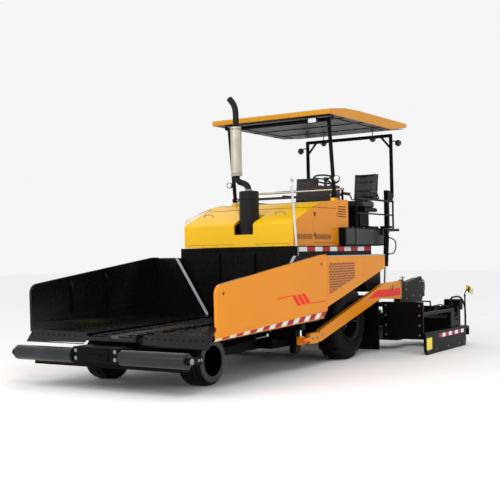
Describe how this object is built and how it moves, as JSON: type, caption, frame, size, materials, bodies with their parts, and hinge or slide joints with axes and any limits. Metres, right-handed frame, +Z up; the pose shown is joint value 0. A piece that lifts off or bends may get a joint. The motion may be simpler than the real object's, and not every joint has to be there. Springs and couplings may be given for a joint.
{
  "type": "asphalt paver",
  "caption": "Wheeled asphalt paver with folding hopper wings, push rollers, sloped hood, canopied operator platform, spreading augers and an extending screed carried on tow arms.",
  "frame": {"origin": "bottom centre of the overall box, on the ground", "axes": "+Z up; the hopper faces -Y and the screed +Y; +X is the machine's left side"},
  "size_m": [4.004, 7.21, 3.8807],
  "materials": {
    "yellow_paint": "gloss machine yellow",
    "orange_paint": "gloss orange yellow",
    "black_paint": "semi-gloss black, dusty",
    "dark_grey_paint": "satin dark grey",
    "muffler_paint": "heat-resistant matt grey",
    "exhaust_paint": "heat-resistant matt black",
    "shield_steel": "perforated bright sheet",
    "roller_steel": "worn bright tube",
    "chrome_rod": "hard chrome",
    "wheel_rubber": "solid rubber tread",
    "tyre_rubber": "agricultural-lug tyre",
    "rim_paint": "grey disc wheel",
    "seat_vinyl": "black vinyl",
    "console_plastic": "grained dark grey",
    "rim_plastic": "moulded black",
    "worn_steel": "worn cast steel"
  },
  "bodies": {
    "chassis": {"main_frame": "black_paint", "conveyor_deck": "dark_grey_paint", "push_beam": "black_paint", "deck_body": "black_paint", "engine_hood": "yellow_paint", "engine_block": "dark_grey_paint", "muffler": "muffler_paint", "exhaust_stack": "exhaust_paint", "heat_shield": "shield_steel", "operator_platform": "black_paint", "seat_L": "seat_vinyl", "seat_R": "seat_vinyl", "console": "console_plastic", "side_panel_L": "orange_paint", "side_panel_R": "orange_paint", "grab_rail": "chrome_rod", "front_axle": "black_paint", "final_drive_L": "dark_grey_paint", "final_drive_R": "dark_grey_paint"},
    "push_roller_L": {"push_roller_L": "roller_steel"},
    "door_L": {"engine_door_L": "orange_paint"},
    "knuckle_L": {"knuckle_L": "black_paint"},
    "front_wheel_L": {"front_wheel_L": "wheel_rubber"},
    "rear_wheel_L": {"rear_tyre_L": "tyre_rubber", "rear_rim_L": "rim_paint"},
    "wing_L": {"hopper_wing_L": "yellow_paint"},
    "wing_barrel_L": {"wing_cylinder_L": "black_paint"},
    "wing_piston_L": {"wing_rod_L": "chrome_rod"},
    "extension_L": {"screed_extension_L": "black_paint", "end_plate_L": "black_paint"},
    "lift_barrel_L": {"lift_cylinder_L": "black_paint"},
    "lift_piston_L": {"lift_rod_L": "chrome_rod"},
    "auger_L": {"auger_L": "worn_steel"},
    "push_roller_R": {"push_roller_R": "roller_steel"},
    "door_R": {"engine_door_R": "orange_paint"},
    "knuckle_R": {"knuckle_R": "black_paint"},
    "front_wheel_R": {"front_wheel_R": "wheel_rubber"},
    "rear_wheel_R": {"rear_tyre_R": "tyre_rubber", "rear_rim_R": "rim_paint"},
    "wing_R": {"hopper_wing_R": "yellow_paint"},
    "wing_barrel_R": {"wing_cylinder_R": "black_paint"},
    "wing_piston_R": {"wing_rod_R": "chrome_rod"},
    "extension_R": {"screed_extension_R": "black_paint", "end_plate_R": "black_paint"},
    "lift_barrel_R": {"lift_cylinder_R": "black_paint"},
    "lift_piston_R": {"lift_rod_R": "chrome_rod"},
    "auger_R": {"auger_R": "worn_steel"},
    "steering": {"steering_wheel": "rim_plastic"},
    "tow_points": {"tow_point_L": "orange_paint", "tow_point_R": "orange_paint"},
    "screed": {"screed": "black_paint", "tow_arm_L": "orange_paint", "tow_arm_R": "orange_paint"},
    "canopy_front": {"canopy_front_frame": "black_paint"},
    "canopy": {"canopy_roof": "yellow_paint"},
    "canopy_rear": {"canopy_rear_frame": "black_paint"}
  },
  "joints": [
    {"name": "push_roller_spin_L", "type": "hinge", "parent": "chassis", "child": "push_roller_L", "pos_m": [0.83, -3.515, 0.42], "axis": [1, 0, 0], "continuous": true},
    {"name": "rear_wheel_spin_L", "type": "hinge", "parent": "chassis", "child": "rear_wheel_L", "pos_m": [1, 0.68, 0.545], "axis": [1, 0, 0], "continuous": true},
    {"name": "front_wheel_spin_L", "type": "hinge", "parent": "knuckle_L", "child": "front_wheel_L", "pos_m": [0.745, -2.49, 0.3], "axis": [1, 0, 0], "continuous": true},
    {"name": "auger_spin_L", "type": "hinge", "parent": "chassis", "child": "auger_L", "pos_m": [0.65, 1.9, 0.36], "axis": [1, 0, 0], "continuous": true},
    {"name": "door_hinge_L", "type": "hinge", "parent": "chassis", "child": "door_L", "pos_m": [0.933, 0.768, 1.98], "axis": [0, 0, 1], "range_deg": [0, 95]},
    {"name": "kingpin_L", "type": "hinge", "parent": "chassis", "child": "knuckle_L", "pos_m": [0.5, -2.49, 0.3], "axis": [0, 0, 1], "range_deg": [-25, 25]},
    {"name": "wing_hinge_L", "type": "hinge", "parent": "chassis", "child": "wing_L", "pos_m": [0.42, -1.9, 0.64], "axis": [0, -1, 0], "range_deg": [0, 55]},
    {"name": "wing_barrel_pivot_L", "type": "hinge", "parent": "chassis", "child": "wing_barrel_L", "pos_m": [0.445, -1.6, 0.385], "axis": [0, -1, 0], "range_deg": [0, 50]},
    {"name": "wing_piston_slide_L", "type": "slide", "parent": "wing_barrel_L", "child": "wing_piston_L", "axis": [0.9752, 0, 0.2213], "range_m": [0, 0.215]},
    {"name": "lift_barrel_pivot_L", "type": "hinge", "parent": "chassis", "child": "lift_barrel_L", "pos_m": [1.14, 2.12, 1.9], "axis": [1, 0, 0], "range_deg": [-12, 0]},
    {"name": "lift_piston_slide_L", "type": "slide", "parent": "lift_barrel_L", "child": "lift_piston_L", "axis": [0, 0.1227, 0.9924], "range_m": [0, 0.29]},
    {"name": "extension_slide_L", "type": "slide", "parent": "screed", "child": "extension_L", "axis": [-1, 0, 0], "range_m": [0, 0.68]},
    {"name": "push_roller_spin_R", "type": "hinge", "parent": "chassis", "child": "push_roller_R", "pos_m": [-0.83, -3.515, 0.42], "axis": [1, 0, 0], "continuous": true},
    {"name": "rear_wheel_spin_R", "type": "hinge", "parent": "chassis", "child": "rear_wheel_R", "pos_m": [-1, 0.68, 0.545], "axis": [1, 0, 0], "continuous": true},
    {"name": "front_wheel_spin_R", "type": "hinge", "parent": "knuckle_R", "child": "front_wheel_R", "pos_m": [-0.745, -2.49, 0.3], "axis": [1, 0, 0], "continuous": true},
    {"name": "auger_spin_R", "type": "hinge", "parent": "chassis", "child": "auger_R", "pos_m": [-0.65, 1.9, 0.36], "axis": [1, 0, 0], "continuous": true},
    {"name": "door_hinge_R", "type": "hinge", "parent": "chassis", "child": "door_R", "pos_m": [-0.933, 0.768, 1.98], "axis": [0, 0, -1], "range_deg": [0, 95]},
    {"name": "kingpin_R", "type": "hinge", "parent": "chassis", "child": "knuckle_R", "pos_m": [-0.5, -2.49, 0.3], "axis": [0, 0, 1], "range_deg": [-25, 25]},
    {"name": "wing_hinge_R", "type": "hinge", "parent": "chassis", "child": "wing_R", "pos_m": [-0.42, -1.9, 0.64], "axis": [0, 1, 0], "range_deg": [0, 55]},
    {"name": "wing_barrel_pivot_R", "type": "hinge", "parent": "chassis", "child": "wing_barrel_R", "pos_m": [-0.445, -1.6, 0.385], "axis": [0, 1, 0], "range_deg": [0, 50]},
    {"name": "wing_piston_slide_R", "type": "slide", "parent": "wing_barrel_R", "child": "wing_piston_R", "axis": [-0.9752, 0, 0.2213], "range_m": [0, 0.215]},
    {"name": "lift_barrel_pivot_R", "type": "hinge", "parent": "chassis", "child": "lift_barrel_R", "pos_m": [-1.14, 2.12, 1.9], "axis": [1, 0, 0], "range_deg": [-12, 0]},
    {"name": "lift_piston_slide_R", "type": "slide", "parent": "lift_barrel_R", "child": "lift_piston_R", "axis": [0, 0.1227, 0.9924], "range_m": [0, 0.29]},
    {"name": "extension_slide_R", "type": "slide", "parent": "screed", "child": "extension_R", "axis": [1, 0, 0], "range_m": [0, 0.68]},
    {"name": "steering_column", "type": "hinge", "parent": "chassis", "child": "steering", "pos_m": [0.28, 1.6965, 2.768], "axis": [0, 0.2747, 0.9615], "range_deg": [-500, 500]},
    {"name": "tow_point_slide", "type": "slide", "parent": "chassis", "child": "tow_points", "axis": [0, 0, 1], "range_m": [-0.035, 0.035]},
    {"name": "screed_lift", "type": "hinge", "parent": "tow_points", "child": "screed", "pos_m": [0, -0.936, 0.42], "axis": [1, 0, 0], "range_deg": [0, 6]},
    {"name": "canopy_fold", "type": "hinge", "parent": "chassis", "child": "canopy_front", "pos_m": [0, 0.793, 2.44], "axis": [-1, 0, 0], "range_deg": [0, 55]},
    {"name": "canopy_front_knuckle", "type": "hinge", "parent": "canopy_front", "child": "canopy", "pos_m": [0, 0.655, 3.572], "axis": [-1, 0, 0], "range_deg": [-55, 0]},
    {"name": "canopy_rear_knuckle", "type": "hinge", "parent": "canopy", "child": "canopy_rear", "pos_m": [0, 3.083, 3.572], "axis": [-1, 0, 0], "range_deg": [0, 55]}
  ],
  "couplings": [
    {"joint": "wing_barrel_pivot_L", "follows": "wing_hinge_L", "ratio": 0.848},
    {"joint": "wing_piston_slide_L", "follows": "wing_hinge_L", "m_per_rad": 0.2129},
    {"joint": "lift_barrel_pivot_L", "follows": "screed_lift", "ratio": -1.79},
    {"joint": "lift_piston_slide_L", "follows": "screed_lift", "m_per_rad": 2.694},
    {"joint": "kingpin_L", "follows": "steering_column", "ratio": 0.05},
    {"joint": "wing_barrel_pivot_R", "follows": "wing_hinge_R", "ratio": 0.848},
    {"joint": "wing_piston_slide_R", "follows": "wing_hinge_R", "m_per_rad": 0.2129},
    {"joint": "lift_barrel_pivot_R", "follows": "screed_lift", "ratio": -1.79},
    {"joint": "lift_piston_slide_R", "follows": "screed_lift", "m_per_rad": 2.694},
    {"joint": "kingpin_R", "follows": "steering_column", "ratio": 0.05},
    {"joint": "canopy_front_knuckle", "follows": "canopy_fold", "ratio": -1},
    {"joint": "canopy_rear_knuckle", "follows": "canopy_fold", "ratio": 1}
  ]
}
